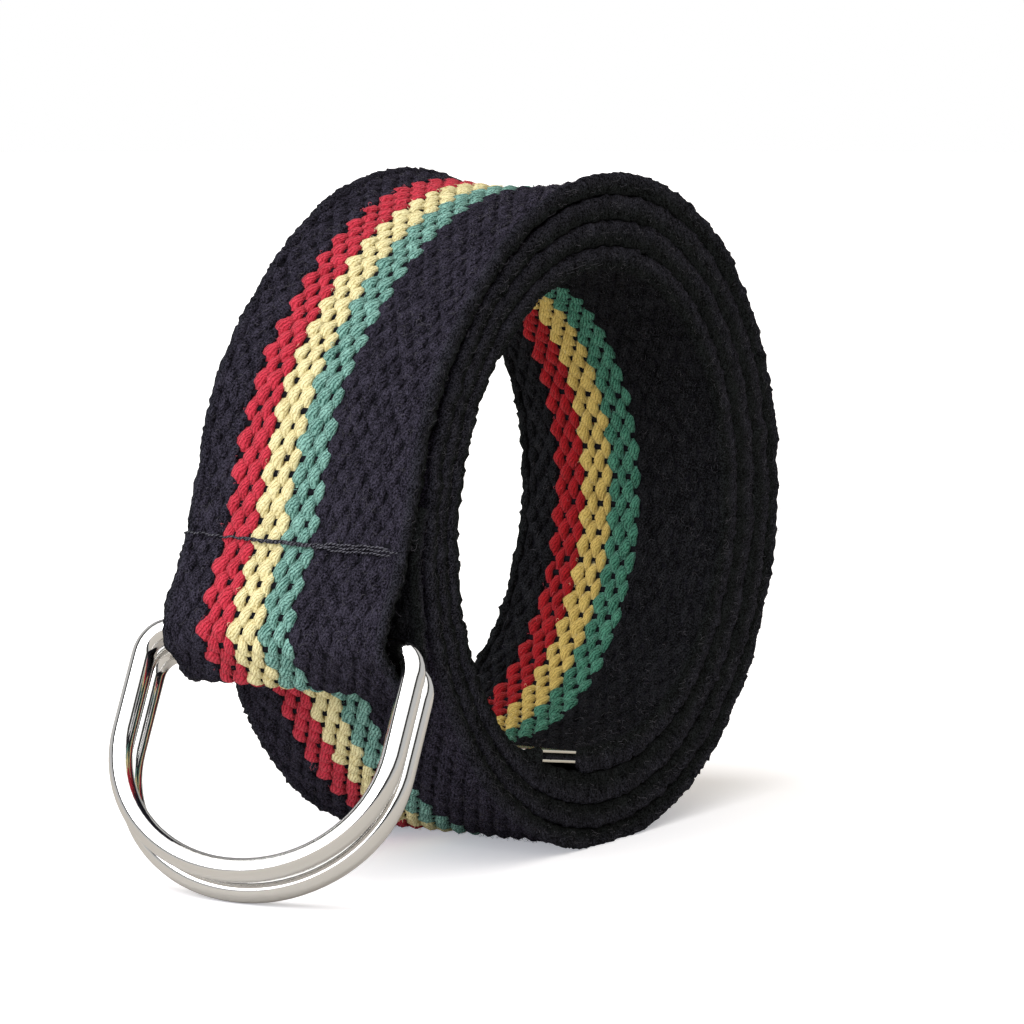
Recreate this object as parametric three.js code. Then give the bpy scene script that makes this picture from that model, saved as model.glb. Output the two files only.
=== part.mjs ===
// A striped cotton webbing belt with a double D-ring buckle, rolled up and standing on the rolled edge.
// Units are millimetres and +Z is up. The roll's axis runs along Y, and the buckle end hangs at -X.
// The origin is on the floor, in the middle of the flat patch that the roll stands on.

import * as THREE from 'three';
import { mergeVertices } from 'three/addons/utils/BufferGeometryUtils.js';

// Webbing
const WEB_WIDTH = 38;
const WEB_THICK = 2.4;
const SELVEDGE = 0.6;
const CUP_DEPTH = 2.2;

// Roll: radius of the webbing's middle at each quarter of each turn, from the outer turn inwards
const ROLL_HEIGHT = 49.6;
const ROLL = [
  { turn: 1, top: 49.9, right: 50.9, bottom: 48.8, left: 49.0 },
  { turn: 2, top: 46.0, right: 46.9, bottom: 45.3, left: 46.3 },
  { turn: 3, top: 42.4, right: 41.9, bottom: 41.3, left: 43.6 },
  { turn: 4, top: 38.2, right: 36.3, bottom: 35.7 },
];
const LEAVES_ROLL_DEG = 134;
const HANG_RADIUS = 51.4;
const ROLL_STEP_DEG = 15;

// Buckle end: middle of the strap from the rings up to the roll, and of the tail sewn back behind it
const STRAP = [
  { x: -59.5, z: 42.6 },
  { x: -57.4, z: 46.5 },
  { x: -55.6, z: 50.4 },
  { x: -54.0, z: 55.0 },
  { x: -52.4, z: 60.0 },
  { x: -50.4, z: 66.0 },
  { x: -46.9, z: 73.0 },
];
const TAIL = [
  { x: -51.1, z: 55.2 },
  { x: -52.7, z: 50.4 },
  { x: -53.0, z: 44.0 },
  { x: -52.2, z: 38.5 },
];
const CUP_FROM = 60;
const CUP_FULL = 120;
const FOLD_THICK = 1.9;
const FOLD_FROM = 16;
const FOLD_TO = 38;
const THIN_RUN = 5;

// D-rings: bent wire, hung on two straight bars inside the fold and leaning out on to the floor
const WIRE = 3.5;
const WIRE_SIDES = 12;
const ARC_STEPS = 8;
const RING_HALF_WIDTH = 23.1;
const RING_CORNER = 4;
const RING_SIDE = 15.5;
const RING_DEPTH = 34;
const RING_LEAN_DEG = 25;
const FRONT_BAR = { x: -57.7, y: 1.2, z: 36.05 };
const BACK_BAR = { x: -54.6, y: 1.8, z: 32.6 };
const SNUG = 0.7;
const SLACK = 1.4;
const CLEARANCE = 0.3;

// End clip: folded sheet pressed round the inner end of the webbing
const CLIP_MOUTH = { x: -10.5, z: 14.4 };
const CLIP_RISE_DEG = 9;
const CLIP_LENGTH = 11.5;
const CLIP_SHEET = 0.45;
const PRESSED_THICK = 0.8;
const PRESS_LEAD = 0.8;
const PRESS_RUN = 2;

// Fineness of the webbing
const FINE_POINTS = 4000;
const MAX_BEND_DEG = 9;
const MAX_STEP = 6;
const MAX_THINNED = 0.25;

const CLIP_HALF = PRESSED_THICK / 2 + CLEARANCE + CLIP_SHEET;
const PRESSED_LENGTH = CLIP_LENGTH - CLIP_HALF;

const { degToRad, lerp, radToDeg, smoothstep } = THREE.MathUtils;

// Points in the side view: x to the right and y up, which is Z of the belt
const sidePoint = (x, z) => new THREE.Vector2(x, z);

function polar(centre, radius, degrees) {
  const angle = degToRad(degrees);
  return sidePoint(centre.x + radius * Math.cos(angle), centre.z + radius * Math.sin(angle));
}

// Radius of the roll after a number of quarter turns, counted from the left side and over the top
function rollRadius(quarters) {
  const knots = [HANG_RADIUS];
  for (const row of ROLL) knots.push(row.top, row.right, row.bottom, row.left ?? row.bottom);
  const i = Math.min(Math.floor(quarters), knots.length - 2);
  const t = quarters - i;
  const at = (k) => knots[Math.min(Math.max(k, 0), knots.length - 1)];
  const rise = at(i + 1) - at(i);
  const slopeIn = (at(i + 1) - at(i - 1)) / 2;
  const slopeOut = (at(i + 2) - at(i)) / 2;
  const bend = 3 * rise - 2 * slopeIn - slopeOut;
  const twist = slopeIn + slopeOut - 2 * rise;
  return at(i) + slopeIn * t + bend * t ** 2 + twist * t ** 3;
}

function rollPoints() {
  const start = 180 - LEAVES_ROLL_DEG;
  const end = 90 * (4 * ROLL.length - 1);
  const count = Math.round((end - start) / ROLL_STEP_DEG);
  return Array.from({ length: count + 1 }, (_, i) => {
    const degrees = start + (end - start) * i / count;
    return polar({ x: 0, z: ROLL_HEIGHT }, rollRadius(degrees / 90), 180 - degrees);
  });
}

// Middle of the webbing where it wraps a bar, from one angle to another, with its room to the wire at each
function wrapPoints(bar, from, to, count) {
  return Array.from({ length: count }, (_, i) => {
    const t = i / (count - 1);
    const room = lerp(from.room, to.room, t);
    return polar(bar, WIRE / 2 + room + FOLD_THICK / 2, lerp(from.degrees, to.degrees, t));
  });
}

// The webbing's route in the side view: tail, round both bars, up the strap, in along the roll, to the clip
function webbingRoute() {
  const slant = radToDeg(Math.atan2(FRONT_BAR.z - BACK_BAR.z, FRONT_BAR.x - BACK_BAR.x));
  const inside = { degrees: 5, room: SNUG };
  const under = { degrees: slant + 90 - 360, room: SNUG };
  const outside = { degrees: -190, room: SLACK };
  const points = TAIL.map((row) => sidePoint(row.x, row.z));
  points.push(...wrapPoints(BACK_BAR, inside, under, 8));
  points.push(...wrapPoints(FRONT_BAR, under, outside, 4));
  points.push(...STRAP.map((row) => sidePoint(row.x, row.z)));
  points.push(...rollPoints());
  const alongClip = polar({ x: 0, z: 0 }, 1, 180 - CLIP_RISE_DEG);
  for (const run of [0, PRESSED_LENGTH / 2, PRESSED_LENGTH]) {
    points.push(sidePoint(CLIP_MOUTH.x, CLIP_MOUTH.z).addScaledVector(alongClip, run));
  }
  return new THREE.CatmullRomCurve3(points.map((p) => new THREE.Vector3(p.x, p.y, 0)), false, 'centripetal');
}

// Thickness of the webbing: full, but pulled thinner round the bars and pressed thin inside the clip
function thicknessAt(run, toEnd) {
  const folded = smoothstep(run, FOLD_FROM - THIN_RUN, FOLD_FROM) - smoothstep(run, FOLD_TO, FOLD_TO + THIN_RUN);
  const mouth = PRESSED_LENGTH + PRESS_LEAD;
  const pressed = 1 - smoothstep(toEnd, mouth, mouth + PRESS_RUN);
  return lerp(lerp(WEB_THICK, FOLD_THICK, folded), PRESSED_THICK, pressed);
}

// The middle of the width dips towards the roll's axis: most at the top, and not at all on the floor
function cupAt(middle, run) {
  const angle = Math.atan2(middle.y - ROLL_HEIGHT, middle.x);
  return CUP_DEPTH * (1 + Math.sin(angle)) / 2 * smoothstep(run, CUP_FROM, CUP_FULL);
}

// Cross sections along the route, close together where it bends or thins and further apart elsewhere
function webbingStations() {
  const curve = webbingRoute();
  const length = curve.getLength();
  const lowest = WEB_THICK / 2;
  const fine = curve.getSpacedPoints(FINE_POINTS).map((p) => sidePoint(p.x, Math.max(p.y, lowest)));
  const stations = [];
  let bent = Infinity;
  let step = 0;
  for (let i = 0; i <= FINE_POINTS; i++) {
    const middle = fine[i];
    const along = fine[Math.min(i + 1, FINE_POINTS)].clone().sub(fine[Math.max(i, 1) - 1]).normalize();
    const run = length * i / FINE_POINTS;
    const thick = thicknessAt(run, length - run);
    if (i > 1) bent += Math.abs(fine[i - 1].clone().sub(fine[i - 2]).angleTo(middle.clone().sub(fine[i - 1])));
    step += length / FINE_POINTS;
    const thinned = Math.abs(thick - stations.at(-1)?.thick);
    if (bent > degToRad(MAX_BEND_DEG) || step > MAX_STEP || thinned > MAX_THINNED || i === FINE_POINTS) {
      stations.push({ middle, thick, normal: sidePoint(-along.y, along.x), cup: cupAt(middle, run) });
      bent = 0;
      step = 0;
    }
  }
  return stations;
}

// A flat strip, one vertex column for each station, bent along the route and cupped across its width
function webbingGeometry() {
  const stations = webbingStations();
  const half = WEB_WIDTH / 2;
  const shoulder = half - SELVEDGE;
  const columns = [-half, -shoulder, -shoulder / 2, 0, shoulder / 2, shoulder, half];
  const last = { x: stations.length - 1, y: columns.length - 1 };
  const geometry = new THREE.BoxGeometry(last.x, last.y, 1, last.x, last.y, 1);
  const position = geometry.getAttribute('position');
  for (let i = 0; i < position.count; i++) {
    const { middle, normal, thick, cup } = stations[Math.round(position.getX(i) + last.x / 2)];
    const across = columns[Math.round(position.getY(i) + last.y / 2)];
    const face = position.getZ(i) * thick * (Math.abs(across) === half ? 0.5 : 1);
    const offset = face - cup * (1 - (across / half) ** 2);
    position.setXYZ(i, middle.x + normal.x * offset, across, middle.y + normal.y * offset);
  }
  return closed(geometry);
}

// Drop what keeps coincident vertices apart, so that the surface is one closed body
function closed(geometry) {
  geometry.deleteAttribute('normal');
  geometry.deleteAttribute('uv');
  const merged = mergeVertices(geometry);
  merged.computeVertexNormals();
  return merged;
}

// D outline: x runs along the bar and y from the bar to the tip
function ringOutline() {
  const straight = RING_HALF_WIDTH - RING_CORNER;
  const outline = new THREE.Path();
  outline.moveTo(-straight, 0);
  outline.lineTo(straight, 0);
  outline.absarc(straight, RING_CORNER, RING_CORNER, -Math.PI / 2, 0);
  outline.lineTo(RING_HALF_WIDTH, RING_SIDE);
  outline.absellipse(0, RING_SIDE, RING_HALF_WIDTH, RING_DEPTH - RING_SIDE, 0, Math.PI);
  outline.lineTo(-RING_HALF_WIDTH, RING_CORNER);
  outline.absarc(-straight, RING_CORNER, RING_CORNER, Math.PI, 1.5 * Math.PI);
  return outline.getPoints(ARC_STEPS).slice(0, -1);
}

// A torus re-routed along the D outline, with its bar on the local Y axis and its tip at -Z
function ringGeometry() {
  const outline = ringOutline();
  const count = outline.length;
  const geometry = new THREE.TorusGeometry(RING_HALF_WIDTH, WIRE / 2, WIRE_SIDES, count);
  const position = geometry.getAttribute('position');
  for (let i = 0; i < position.count; i++) {
    const k = i % (count + 1) % count;
    const angle = Math.floor(i / (count + 1)) % WIRE_SIDES / WIRE_SIDES * 2 * Math.PI;
    const before = outline[(k + count - 1) % count];
    const after = outline[(k + 1) % count];
    const along = after.clone().sub(before).normalize();
    const outwards = WIRE / 2 * Math.cos(angle);
    position.setXYZ(i,
      -WIRE / 2 * Math.sin(angle),
      outline[k].x + along.y * outwards,
      -(outline[k].y - along.x * outwards));
  }
  return closed(geometry);
}

// Channel of folded sheet, closed at the webbing's end, lying along the pressed end
function clipGeometry() {
  const outer = CLIP_HALF;
  const inner = CLIP_HALF - CLIP_SHEET;
  const bend = CLIP_LENGTH - outer;
  const channel = new THREE.Shape();
  channel.moveTo(0, -outer);
  channel.lineTo(bend, -outer);
  channel.absarc(bend, 0, outer, -Math.PI / 2, Math.PI / 2);
  channel.lineTo(0, outer);
  channel.lineTo(0, inner);
  channel.lineTo(bend, inner);
  channel.absarc(bend, 0, inner, Math.PI / 2, -Math.PI / 2, true);
  channel.lineTo(0, -inner);
  const geometry = new THREE.ExtrudeGeometry(channel, {
    depth: WEB_WIDTH, bevelEnabled: false, curveSegments: ARC_STEPS,
  });
  geometry.translate(0, 0, -WEB_WIDTH / 2);
  geometry.rotateX(Math.PI / 2);
  return closed(geometry);
}

function part(name, geometry, color, roughness, metalness) {
  const mesh = new THREE.Mesh(geometry, new THREE.MeshStandardMaterial({ color, roughness, metalness }));
  mesh.name = name;
  return mesh;
}

function ring(name, bar) {
  const mesh = part(name, ringGeometry(), 0xc9cacb, 0.2, 1);
  mesh.position.set(bar.x, bar.y, bar.z);
  mesh.rotation.y = degToRad(RING_LEAN_DEG);
  return mesh;
}

const belt = new THREE.Group();
belt.add(part('strap_webbing', webbingGeometry(), 0x24242c, 0.9, 0));

const clip = part('end_clip', clipGeometry(), 0xb9b6a6, 0.3, 1);
clip.position.set(CLIP_MOUTH.x, 0, CLIP_MOUTH.z);
clip.rotation.y = degToRad(180 + CLIP_RISE_DEG);
belt.add(clip);

const buckle = new THREE.Group();
buckle.add(ring('d_ring_front', FRONT_BAR));
buckle.add(ring('d_ring_back', BACK_BAR));
belt.add(buckle);

export default belt;
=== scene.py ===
# %% [markdown]
# A striped cotton belt, rolled up and standing on its edge, with a double D-ring buckle. The webbing is a
# coarse plain weave of soft, thick yarns, so each warp yarn is modelled: it is made flat and straight first,
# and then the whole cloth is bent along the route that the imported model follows. The model is in metres.

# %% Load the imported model
import math

import bmesh
import bpy
import numpy as np
from mathutils import Matrix, Vector


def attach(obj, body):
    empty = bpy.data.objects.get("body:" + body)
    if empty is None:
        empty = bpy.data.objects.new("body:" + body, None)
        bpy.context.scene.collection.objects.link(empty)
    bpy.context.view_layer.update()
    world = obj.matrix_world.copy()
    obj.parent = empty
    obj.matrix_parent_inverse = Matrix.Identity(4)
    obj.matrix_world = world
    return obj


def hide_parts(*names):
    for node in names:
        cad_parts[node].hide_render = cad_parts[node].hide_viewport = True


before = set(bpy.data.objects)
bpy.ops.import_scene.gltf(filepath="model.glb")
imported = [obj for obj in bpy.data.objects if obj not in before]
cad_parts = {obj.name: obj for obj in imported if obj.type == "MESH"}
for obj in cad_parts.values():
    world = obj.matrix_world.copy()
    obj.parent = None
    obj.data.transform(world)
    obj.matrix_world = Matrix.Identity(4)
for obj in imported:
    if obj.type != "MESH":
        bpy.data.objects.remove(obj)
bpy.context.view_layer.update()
MM = 0.001

# %% [markdown]
# The picture was taken with a long lens from the front left, a little above the roll's middle. A long lens
# far away keeps the two edges of the webbing almost parallel. The camera needs a place, a target and a lens.

# %% Camera
CAMERA_AT = Vector((-610.7, -380.9, 128.2)) * MM
LOOKS_AT = Vector((2.06, 0.0, 48.74)) * MM
LENS_MM = 167.9
SENSOR_MM = 36.0
NEAREST_SEEN = 0.01
FURTHEST_SEEN = 50.0


def new_object(name, data):
    made = bpy.data.objects.new(name, data)
    bpy.context.scene.collection.objects.link(made)
    return made


camera_data = bpy.data.cameras.new("camera")
camera_data.lens = LENS_MM
camera_data.sensor_width = SENSOR_MM
camera_data.clip_start = NEAREST_SEEN
camera_data.clip_end = FURTHEST_SEEN
camera = new_object("camera", camera_data)
camera.location = CAMERA_AT
camera.rotation_euler = (LOOKS_AT - CAMERA_AT).to_track_quat("-Z", "Y").to_euler()
bpy.context.scene.camera = camera
print("camera", round((LOOKS_AT - CAMERA_AT).length, 3), "m from the belt")

# %% [markdown]
# The webbing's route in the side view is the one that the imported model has: the tail, round the two bars of
# the buckle, up the strap, and inwards round the roll. The roll could be a plain spiral, but a real one sags:
# so each turn has its own radius at the top, right, bottom and left. The route is drawn in millimetres, and
# sizes that are written without MM are in those.

# %% Sizes of the belt
WEB_WIDTH = 38 * MM
WEB_THICK = 2.4 * MM
CUP_DEPTH = 2.2 * MM
ROLL_HEIGHT = 49.6 * MM
ROLL = (
    {"top": 49.9, "right": 50.9, "bottom": 48.8, "left": 49.0},
    {"top": 46.0, "right": 46.9, "bottom": 45.3, "left": 46.3},
    {"top": 42.4, "right": 41.9, "bottom": 41.3, "left": 43.6},
    {"top": 38.2, "right": 36.3, "bottom": 35.7, "left": 35.7},
)
QUARTERS_ROUND = 4
ROLL_QUARTERS = QUARTERS_ROUND * len(ROLL) - 1
LEAVES_ROLL_DEG = 134
HANG_RADIUS = 51.4
ROLL_STEP_DEG = 15
STRAP = (
    (-59.5, 42.6), (-57.4, 46.5), (-55.6, 50.4), (-54.0, 55.0),
    (-52.4, 60.0), (-50.4, 66.0), (-46.9, 73.0),
)
TAIL = ((-51.1, 55.2), (-52.7, 50.4), (-53.0, 44.0), (-52.2, 38.5))
CUP_FROM = 60 * MM
CUP_FULL = 120 * MM
FOLD_THICK = 1.9 * MM
FOLD_FROM = 16 * MM
FOLD_TO = 38 * MM
THIN_RUN = 5 * MM
WIRE = 3.5
FRONT_BAR = Vector((-57.7, 1.2, 36.05))
BACK_BAR = Vector((-54.6, 1.8, 32.6))
SNUG = 0.7
SLACK = 1.4
TAIL_MEETS_BAR_DEG = 5
STRAP_LEAVES_BAR_DEG = -190
POINTS_ROUND_BACK = 8
POINTS_ROUND_FRONT = 4
CLIP_MOUTH = Vector((-10.5, 0.0, 14.4))
CLIP_RISE_DEG = 9
CLIP_LENGTH = 11.5
CLIP_SHEET = 0.45
CLIP_ROOM = 0.3
PRESSED_THICK = 0.8
PRESS_LEAD = 0.8
PRESS_RUN = 2
CLIP_HALF = PRESSED_THICK / 2 + CLIP_ROOM + CLIP_SHEET
PRESSED_LENGTH = CLIP_LENGTH - CLIP_HALF
print("webbing", WEB_WIDTH, "x", WEB_THICK, "m, rolled up in", ROLL_QUARTERS, "quarter turns")


# %% Turns of the roll
def polar(centre, radius, degrees):
    angle = math.radians(degrees)
    return (centre[0] + radius * math.cos(angle), centre[1] + radius * math.sin(angle))


def roll_radius(quarters):
    """Radius after a number of quarter turns, from the left side and over the top."""
    knots = [HANG_RADIUS]
    for row in ROLL:
        knots += [row["top"], row["right"], row["bottom"], row["left"]]
    i = min(int(quarters), len(knots) - 2)
    t = quarters - i

    def at(k):
        return knots[min(max(k, 0), len(knots) - 1)]

    rise = at(i + 1) - at(i)
    slope_in = (at(i + 1) - at(i - 1)) / 2
    slope_out = (at(i + 2) - at(i)) / 2
    bend = 3 * rise - 2 * slope_in - slope_out
    twist = slope_in + slope_out - 2 * rise
    return at(i) + slope_in * t + bend * t**2 + twist * t**3


def roll_points():
    start = 180 - LEAVES_ROLL_DEG
    end = 90 * ROLL_QUARTERS
    count = round((end - start) / ROLL_STEP_DEG)
    points = []
    for i in range(count + 1):
        degrees = start + (end - start) * i / count
        points.append(polar((0, ROLL_HEIGHT / MM), roll_radius(degrees / 90), 180 - degrees))
    return points


print("the roll is drawn through", len(roll_points()), "points")


# %% Through the buckle and into the clip
def wrap_points(bar, start, end, count):
    """Middle of the webbing round a bar, from (degrees, room) to (degrees, room)."""
    points = []
    for i in range(count):
        t = i / (count - 1)
        room = start[1] + (end[1] - start[1]) * t
        radius = WIRE / 2 + room + FOLD_THICK / MM / 2
        points.append(polar((bar.x, bar.z), radius, start[0] + (end[0] - start[0]) * t))
    return points


def route_points():
    slant = math.degrees(math.atan2(FRONT_BAR.z - BACK_BAR.z, FRONT_BAR.x - BACK_BAR.x))
    under = (slant + 90 - 360, SNUG)
    points = list(TAIL)
    points += wrap_points(BACK_BAR, (TAIL_MEETS_BAR_DEG, SNUG), under, POINTS_ROUND_BACK)
    points += wrap_points(FRONT_BAR, under, (STRAP_LEAVES_BAR_DEG, SLACK), POINTS_ROUND_FRONT)
    points += STRAP
    points += roll_points()
    for run in (0, PRESSED_LENGTH / 2, PRESSED_LENGTH):
        points.append(polar((CLIP_MOUTH.x, CLIP_MOUTH.z), run, 180 - CLIP_RISE_DEG))
    return np.array(points)


print("the whole route has", len(route_points()), "points")

# %% [markdown]
# A free belt end has no formula, so a smooth curve joins the points. It could be one of Blender's curves, but
# here it is worked out as numbers, because it is then measured by its length, and anything that is made flat
# can be laid along it: place along, place across, and height over the middle of the webbing.

# %% One smooth route
ROUTE_STEPS = 40


def smooth_curve(points):
    """A smooth curve through the points, whose tangents allow for uneven spacing."""
    first = 2 * points[0] - points[1]
    last = 2 * points[-1] - points[-2]
    p = np.vstack([first, points, last])
    out = []
    for i in range(1, len(p) - 2):
        before, here, after = [math.sqrt(np.linalg.norm(p[k + 1] - p[k])) for k in (i - 1, i, i + 1)]
        rise = p[i + 1] - p[i]
        slope_in = (p[i] - p[i - 1]) / before - (p[i + 1] - p[i - 1]) / (before + here) + rise / here
        slope_out = rise / here - (p[i + 2] - p[i]) / (here + after) + (p[i + 2] - p[i + 1]) / after
        slope_in = slope_in * here
        slope_out = slope_out * here
        bend = 3 * rise - 2 * slope_in - slope_out
        twist = slope_in + slope_out - 2 * rise
        t = np.linspace(0, 1, ROUTE_STEPS, endpoint=False)[:, None]
        out.append(p[i] + slope_in * t + bend * t**2 + twist * t**3)
    out.append(p[-2][None])
    return np.vstack(out)


def smoothstep(x, low, high):
    t = np.clip((x - low) / (high - low), 0, 1)
    return t * t * (3 - 2 * t)


route = smooth_curve(route_points()) * MM
route[:, 1] = np.maximum(route[:, 1], WEB_THICK / 2)
route_run = np.concatenate([[0], np.cumsum(np.linalg.norm(np.diff(route, axis=0), axis=1))])
WEB_LENGTH = float(route_run[-1])
route_along = np.gradient(route, route_run, axis=0)
route_along /= np.linalg.norm(route_along, axis=1)[:, None]
print("webbing", round(WEB_LENGTH, 3), "m long")


# %% Laying flat things on the route
def thickness(run):
    """Thickness of the webbing: thinner round the bars, and pressed in the clip."""
    folded = smoothstep(run, FOLD_FROM - THIN_RUN, FOLD_FROM) - smoothstep(run, FOLD_TO, FOLD_TO + THIN_RUN)
    mouth = (PRESSED_LENGTH + PRESS_LEAD) * MM
    pressed = 1 - smoothstep(WEB_LENGTH - run, mouth, mouth + PRESS_RUN * MM)
    thick = WEB_THICK + (FOLD_THICK - WEB_THICK) * folded
    return thick + (PRESSED_THICK * MM - thick) * pressed


def lay_on_route(flat):
    """Flat places (along, across, height) to the rolled belt. Height is from the webbing's middle, and
    positive heights are on its outer side."""
    run = np.clip(flat[:, 0], 0, WEB_LENGTH)
    middle_x = np.interp(run, route_run, route[:, 0])
    middle_z = np.interp(run, route_run, route[:, 1])
    along_x = np.interp(run, route_run, route_along[:, 0])
    along_z = np.interp(run, route_run, route_along[:, 1])
    size = np.hypot(along_x, along_z)
    along_x, along_z = along_x / size, along_z / size
    angle = np.arctan2(middle_z - ROLL_HEIGHT, middle_x)
    cup = CUP_DEPTH * (1 + np.sin(angle)) / 2 * smoothstep(run, CUP_FROM, CUP_FULL)
    across = flat[:, 1]
    height = flat[:, 2] * thickness(run) / WEB_THICK - cup * (1 - (2 * across / WEB_WIDTH) ** 2)
    spare = flat[:, 0] - run
    x = middle_x - along_z * height + along_x * spare
    z = middle_z + along_x * height + along_z * spare
    return np.stack([x, across, z], axis=1)


# %% [markdown]
# In plain weave a warp yarn floats over one weft pick and dives under the next, and its neighbour does the
# opposite. Soft cotton fills the cloth: the floats are wide and flat, lean a little with the twist of the
# yarn, and leave only small dark holes. A picture of a weave would look flat from the side, so the yarns are
# real tubes. One repeat of a yarn is a row of rings of vertices, bridged one to the next, wide on the floats
# and narrow where it dives. An Array modifier lines up the repeats into a whole yarn.

# %% Weave
PICK = 2.35 * MM
REPEAT = 2 * PICK
ENDS = 29
YARN_STEPS = 8
YARN_KINDS = {
    "plain": {"sides": 6, "square": 1.0, "wave": 0.46, "half_thick": 0.60, "float": 1.03, "dive": 0.83,
              "lean": 0.20, "rough": 0.035, "swell": 0.0},
    "felted": {"sides": 6, "square": 0.8, "wave": 0.30, "half_thick": 0.70, "float": 1.08, "dive": 0.95,
               "lean": 0.12, "rough": 0.075, "swell": 0.0},
    "shoulder": {"sides": 6, "square": 0.8, "wave": 0.20, "half_thick": 0.98, "float": 1.00, "dive": 0.90,
                 "lean": 0.05, "rough": 0.090, "swell": 0.55},
    "rim": {"sides": 10, "square": 0.6, "wave": 0.05, "half_thick": 1.35, "float": 0.87, "dive": 0.76,
            "lean": 0.0, "rough": 0.110, "swell": 1.0},
}
EDGE_MARGIN = 0.5 * MM
END_PITCH = (WEB_WIDTH - EDGE_MARGIN) / ENDS
REPEATS = int(WEB_LENGTH / REPEAT)
CREST = 1.1
CREST_FLAT = 0.1
PLUMP_POWER = 0.8


def wave_shape(phase):
    """Height of a yarn's middle as a share of its wave: flat on the floats, steep between them."""
    return CREST * np.cos(phase) - CREST_FLAT * np.cos(3 * phase)


def wave_slope(phase):
    """How fast that height rises with the phase."""
    return 3 * CREST_FLAT * math.sin(3 * phase) - CREST * math.sin(phase)


print("yarn kinds", sorted(YARN_KINDS), "and", REPEATS, "repeats in the belt")


# %% One repeat of each kind of yarn
def edges_of(ring):
    return list({edge for vert in ring for edge in vert.link_edges})


def mesh_from(bm, name):
    """A mesh of what the bmesh holds, which is then let go."""
    mesh = bpy.data.meshes.new(name)
    bm.to_mesh(mesh)
    bm.free()
    return mesh


def yarn_ring(bm, kind, along, height, half_width, slope):
    """A ring of vertices across the yarn's path, pressed from a circle towards a rounded box."""
    ring = bmesh.ops.create_circle(bm, segments=kind["sides"], radius=1)["verts"]
    for vert in ring:
        vert.co.x = math.copysign(abs(vert.co.x) ** kind["square"], vert.co.x)
        vert.co.y = math.copysign(abs(vert.co.y) ** kind["square"], vert.co.y)
    bmesh.ops.scale(bm, vec=(half_width, kind["half_thick"] * MM, 1), verts=ring)
    stand = Matrix(((0, 0, 1), (1, 0, 0), (0, 1, 0))).to_4x4()
    lean = Matrix.Rotation(-math.atan(slope), 4, "Y")
    bmesh.ops.transform(bm, matrix=Matrix.Translation((along, 0, height)) @ lean @ stand, verts=ring)
    return ring


def yarn_repeat(kind):
    """One repeat of a warp yarn, straight along X, open at both ends."""
    wave = kind["wave"] * MM
    bm = bmesh.new()
    edges = []
    for step in range(YARN_STEPS + 1):
        phase = 2 * math.pi * step / YARN_STEPS
        plump = abs(math.cos(phase)) ** PLUMP_POWER
        slope = wave * 2 * math.pi / REPEAT * wave_slope(phase)
        half_width = (kind["dive"] + (kind["float"] - kind["dive"]) * plump) * MM
        ring = yarn_ring(bm, kind, REPEAT * step / YARN_STEPS, wave * wave_shape(phase), half_width, slope)
        edges.append(edges_of(ring))
    for before, after in zip(edges, edges[1:]):
        bmesh.ops.bridge_loops(bm, edges=before + after)
    return mesh_from(bm, "yarn_repeat")


repeats = {name: yarn_repeat(kind) for name, kind in YARN_KINDS.items()}
print("one repeat has", len(repeats["plain"].polygons), "faces")

# %% [markdown]
# Each stripe is a group of neighbouring warp yarns of one colour, counted from the far edge. Copies of the
# whole yarn are set side by side, and every second one is turned over, so that it floats where its neighbours
# dive. A real yarn isn't the same twice, so each float gets a small seeded push sideways and a little more or
# less body. The yarns at the two edges hardly wave at all: they are packed into a thick, felted rim.

# %% Stripes
STRIPES = (
    {"name": "edge_yarns", "finish": "charcoal", "ends": 5},
    {"name": "red_yarns", "finish": "red", "ends": 4},
    {"name": "straw_yarns", "finish": "straw", "ends": 4},
    {"name": "green_yarns", "finish": "green", "ends": 4},
    {"name": "broad_yarns_inner", "finish": "charcoal", "ends": 6},
    {"name": "broad_yarns_outer", "finish": "charcoal", "ends": 6},
)
MERGE_WITHIN = 0.01 * MM


def finished_mesh(holder):
    """The mesh that an object's modifiers, or its curve, come to. The object itself goes."""
    graph = bpy.context.evaluated_depsgraph_get()
    mesh = bpy.data.meshes.new_from_object(holder.evaluated_get(graph))
    bpy.data.objects.remove(holder)
    return mesh


def lined_up(mesh, step, count):
    """The mesh repeated along X by an Array modifier, with its open ends merged."""
    holder = new_object("holder", mesh)
    array = holder.modifiers.new("repeats", "ARRAY")
    array.fit_type = "FIXED_COUNT"
    array.count = count
    array.use_relative_offset = False
    array.use_constant_offset = True
    array.constant_offset_displace = (step, 0, 0)
    array.use_merge_vertices = True
    array.merge_threshold = MERGE_WITHIN
    return finished_mesh(holder)


whole_yarns = {name: lined_up(mesh, REPEAT, REPEATS) for name, mesh in repeats.items()}
print("a whole yarn has", len(whole_yarns["plain"].polygons), "faces")


# %% Small helpers for meshes
def close_ends(bm):
    open_edges = [edge for edge in bm.edges if edge.is_boundary]
    bmesh.ops.holes_fill(bm, edges=open_edges, sides=0)


def get_places(mesh):
    places = np.empty(len(mesh.vertices) * 3)
    mesh.vertices.foreach_get("co", places)
    return places.reshape(-1, 3)


def set_places(mesh, places):
    mesh.vertices.foreach_set("co", places.ravel())
    mesh.update()


def remember(mesh, name, values):
    """Keeps three numbers, or one, for each vertex, for the material to read."""
    three = values.ndim == 2
    attribute = mesh.attributes.new(name, "FLOAT_VECTOR" if three else "FLOAT", "POINT")
    attribute.data.foreach_set("vector" if three else "value", values.ravel())


def shade_smooth(mesh):
    mesh.polygons.foreach_set("use_smooth", np.ones(len(mesh.polygons), dtype=bool))


print("the stripes hold", sum(stripe["ends"] for stripe in STRIPES), "yarns")

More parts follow.
